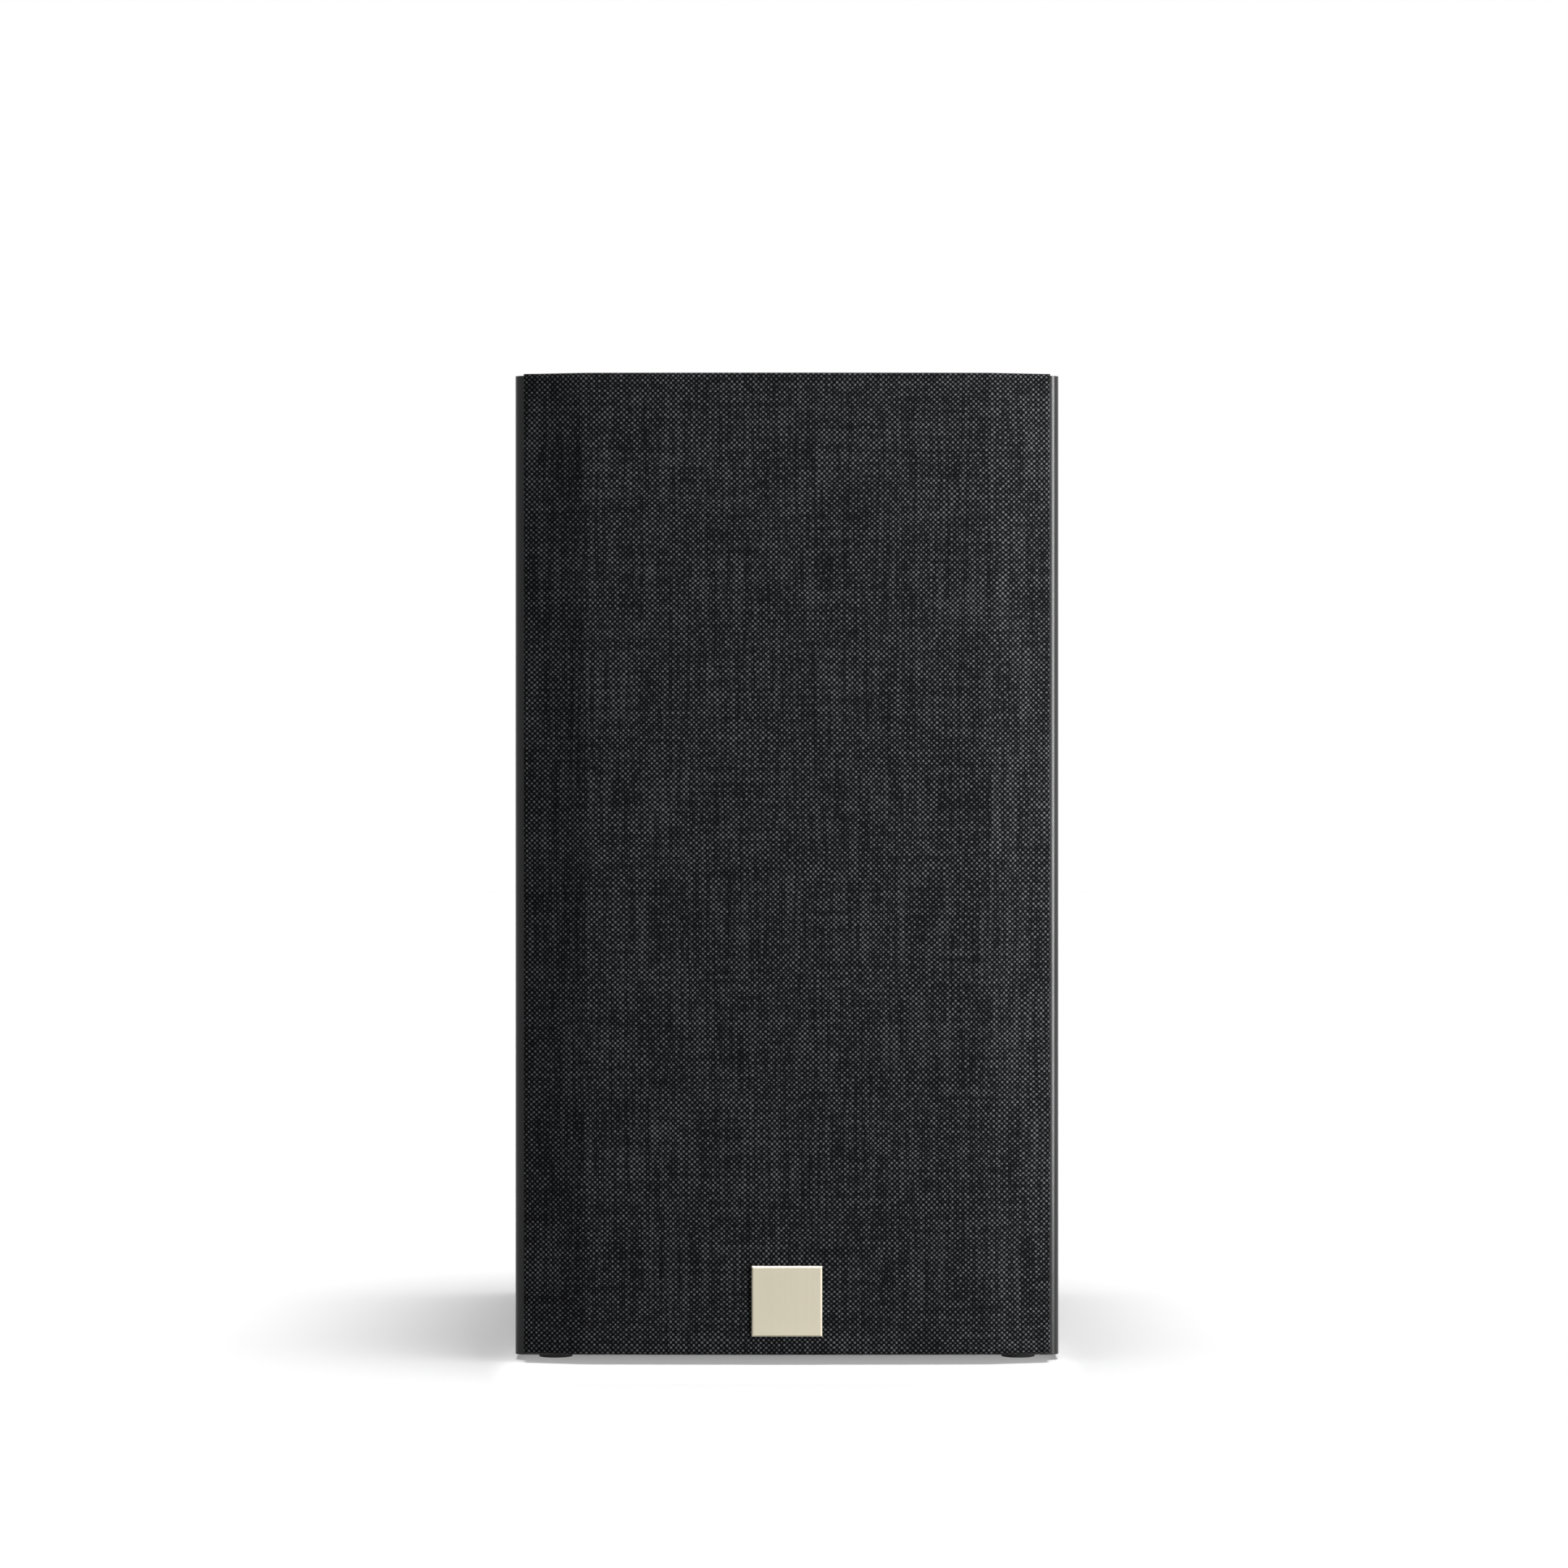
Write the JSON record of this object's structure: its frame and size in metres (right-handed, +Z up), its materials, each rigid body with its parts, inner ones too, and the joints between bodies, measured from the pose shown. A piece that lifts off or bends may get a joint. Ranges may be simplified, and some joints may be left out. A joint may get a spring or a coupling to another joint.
{
  "type": "bookshelf speaker",
  "caption": "Two-way shelf loudspeaker: upright black box with a bevelled pull-off cloth grille, blank metal badge, rear reflex port and screw-down terminals.",
  "frame": {"origin": "middle of the footprint's box, level with the underside of the rubber feet", "axes": "+Z up, -Y out of the grille towards the listener, +X to the right seen from the front"},
  "size_m": [0.195, 0.2954, 0.353],
  "materials": {
    "vinyl_board": "fibreboard wrapped in black textured vinyl",
    "baffle_lacquer": "fibreboard with satin black lacquer",
    "bare_board": "bare fibreboard",
    "moulded_black": "moulded black plastic",
    "grille_cloth": "black plain-woven grille cloth",
    "badge_metal": "fine-brushed champagne anodised",
    "foot_rubber": "matt",
    "gasket_foam": "closed-cell foam",
    "surround_rubber": "satin butyl rubber",
    "screw_steel": "black zinc plated",
    "bright_steel": "zinc plated",
    "gold_brass": "gold plated",
    "knob_red": "translucent red insulation",
    "knob_black": "black insulation",
    "circuit_board": "green solder mask",
    "nylon": "natural nylon",
    "copper_wire": "enamelled copper",
    "capacitor_sleeve": "shrink sleeve",
    "film_amber": "amber film",
    "white_ceramic": "cement resistor body",
    "wire_red": "PVC insulation",
    "wire_black": "PVC insulation",
    "wool": "polyester wool",
    "basket_metal": "black painted pressed steel",
    "cone_paper": "mineral-filled polypropylene cone",
    "spider_cloth": "resin-treated cloth",
    "ferrite": "sintered ferrite",
    "dome_silk": "coated silk"
  },
  "bodies": {
    "cabinet": {"side_panel_left": "vinyl_board", "side_panel_right": "vinyl_board", "top_panel": "vinyl_board", "bottom_panel": "vinyl_board", "back_panel": "vinyl_board", "front_baffle": "baffle_lacquer", "cabinet_brace": "bare_board", "rubber_feet": "foot_rubber", "grille_sockets": "moulded_black", "reflex_port": "moulded_black", "terminal_plate": "moulded_black", "terminal_screws": "screw_steel", "binding_post_red": "gold_brass", "binding_post_black": "gold_brass", "post_nuts": "bright_steel", "solder_tags": "gold_brass", "crossover_board": "circuit_board", "board_standoffs": "nylon", "inductor_bobbins": "moulded_black", "inductor_windings": "copper_wire", "woofer_capacitor": "capacitor_sleeve", "tweeter_capacitor": "film_amber", "resistor": "white_ceramic", "input_wires": "wire_red", "woofer_wires": "wire_black", "tweeter_wires": "wire_red", "damping_wadding": "wool", "woofer_basket": "basket_metal", "woofer_trim_ring": "surround_rubber", "woofer_gasket": "gasket_foam", "woofer_screws": "screw_steel", "woofer_surround": "surround_rubber", "woofer_spider": "spider_cloth", "woofer_top_plate": "bright_steel", "woofer_magnet": "ferrite", "woofer_pole_plate": "bright_steel", "woofer_tag_strip": "film_amber", "woofer_tinsel_leads": "copper_wire", "tweeter_faceplate": "moulded_black", "tweeter_surround": "dome_silk", "tweeter_top_plate": "bright_steel", "tweeter_magnet": "ferrite", "tweeter_pole_plate": "bright_steel", "tweeter_gasket": "gasket_foam", "tweeter_screws": "screw_steel", "tweeter_tag_strip": "film_amber"},
    "grille": {"grille_frame": "moulded_black", "grille_cloth": "grille_cloth", "grille_badge": "badge_metal"},
    "woofer_moving": {"woofer_cone": "cone_paper", "woofer_dust_cap": "cone_paper", "woofer_coil_former": "film_amber", "woofer_voice_coil": "copper_wire"},
    "tweeter_moving": {"tweeter_dome": "dome_silk", "tweeter_voice_coil": "copper_wire"},
    "red_clamp": {"clamp_washer_red": "gold_brass"},
    "red_knob": {"terminal_knob_red": "knob_red"},
    "black_clamp": {"clamp_washer_black": "gold_brass"},
    "black_knob": {"terminal_knob_black": "knob_black"}
  },
  "joints": [
    {"name": "grille_pull", "type": "slide", "parent": "cabinet", "child": "grille", "axis": [0, -1, 0], "range_m": [0, 0.1]},
    {"name": "woofer_move", "type": "slide", "parent": "cabinet", "child": "woofer_moving", "axis": [0, -1, 0], "range_m": [-0.005, 0.005], "stiffness_N_per_m": 1200, "deforming": ["woofer_surround", "woofer_spider", "woofer_tinsel_leads"]},
    {"name": "tweeter_move", "type": "slide", "parent": "cabinet", "child": "tweeter_moving", "axis": [0, -1, 0], "range_m": [-0.0004, 0.0004], "stiffness_N_per_m": 7600, "deforming": ["tweeter_surround"]},
    {"name": "red_clamp_slide", "type": "slide", "parent": "cabinet", "child": "red_clamp", "axis": [0, 1, 0], "range_m": [0, 0.005]},
    {"name": "red_knob_turn", "type": "hinge", "parent": "red_clamp", "child": "red_knob", "pos_m": [-0.0095, 0.1385, 0.077], "axis": [0, 1, 0], "range_deg": [0, 1800]},
    {"name": "black_clamp_slide", "type": "slide", "parent": "cabinet", "child": "black_clamp", "axis": [0, 1, 0], "range_m": [0, 0.005]},
    {"name": "black_knob_turn", "type": "hinge", "parent": "black_clamp", "child": "black_knob", "pos_m": [0.0095, 0.1385, 0.077], "axis": [0, 1, 0], "range_deg": [0, 1800]}
  ],
  "couplings": [
    {"joint": "red_knob_turn", "follows": "red_clamp_slide", "rad_per_m": 6283.2},
    {"joint": "black_knob_turn", "follows": "black_clamp_slide", "rad_per_m": 6283.2}
  ]
}
